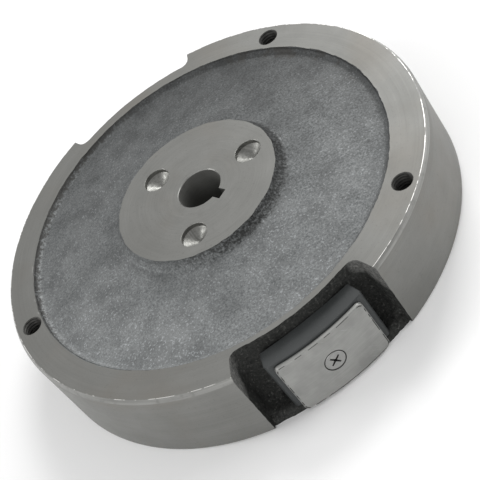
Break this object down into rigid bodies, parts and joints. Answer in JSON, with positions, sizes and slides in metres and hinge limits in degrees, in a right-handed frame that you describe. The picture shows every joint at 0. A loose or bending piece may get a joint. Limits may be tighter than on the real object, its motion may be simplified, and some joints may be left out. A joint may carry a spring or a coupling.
{
  "type": "magneto flywheel",
  "caption": "Small-engine cast-iron flywheel with a keyed bore, tapped rim holes and an outside ignition magnet under a screwed steel pole shoe.",
  "frame": {"origin": "centre of the crankshaft bore at the flywheel's back (engine side) face", "axes": "+Z along the crank axis towards the front (fan side); +X through a hub dimple; the magnet is near -Y"},
  "size_m": [0.2, 0.1943, 0.0435],
  "materials": {
    "cast_iron": "shot-blasted web and pockets, fine-turned rim, hub and bore",
    "ferrite": "ground dark ceramic",
    "shoe_steel": "pressed and ground steel plate",
    "screw_steel": "bright steel, ground flush"
  },
  "bodies": {
    "root": {"flywheel": "cast_iron", "magnet": "ferrite", "pole_shoe": "shoe_steel", "pole_screw": "screw_steel"}
  },
  "joints": []
}
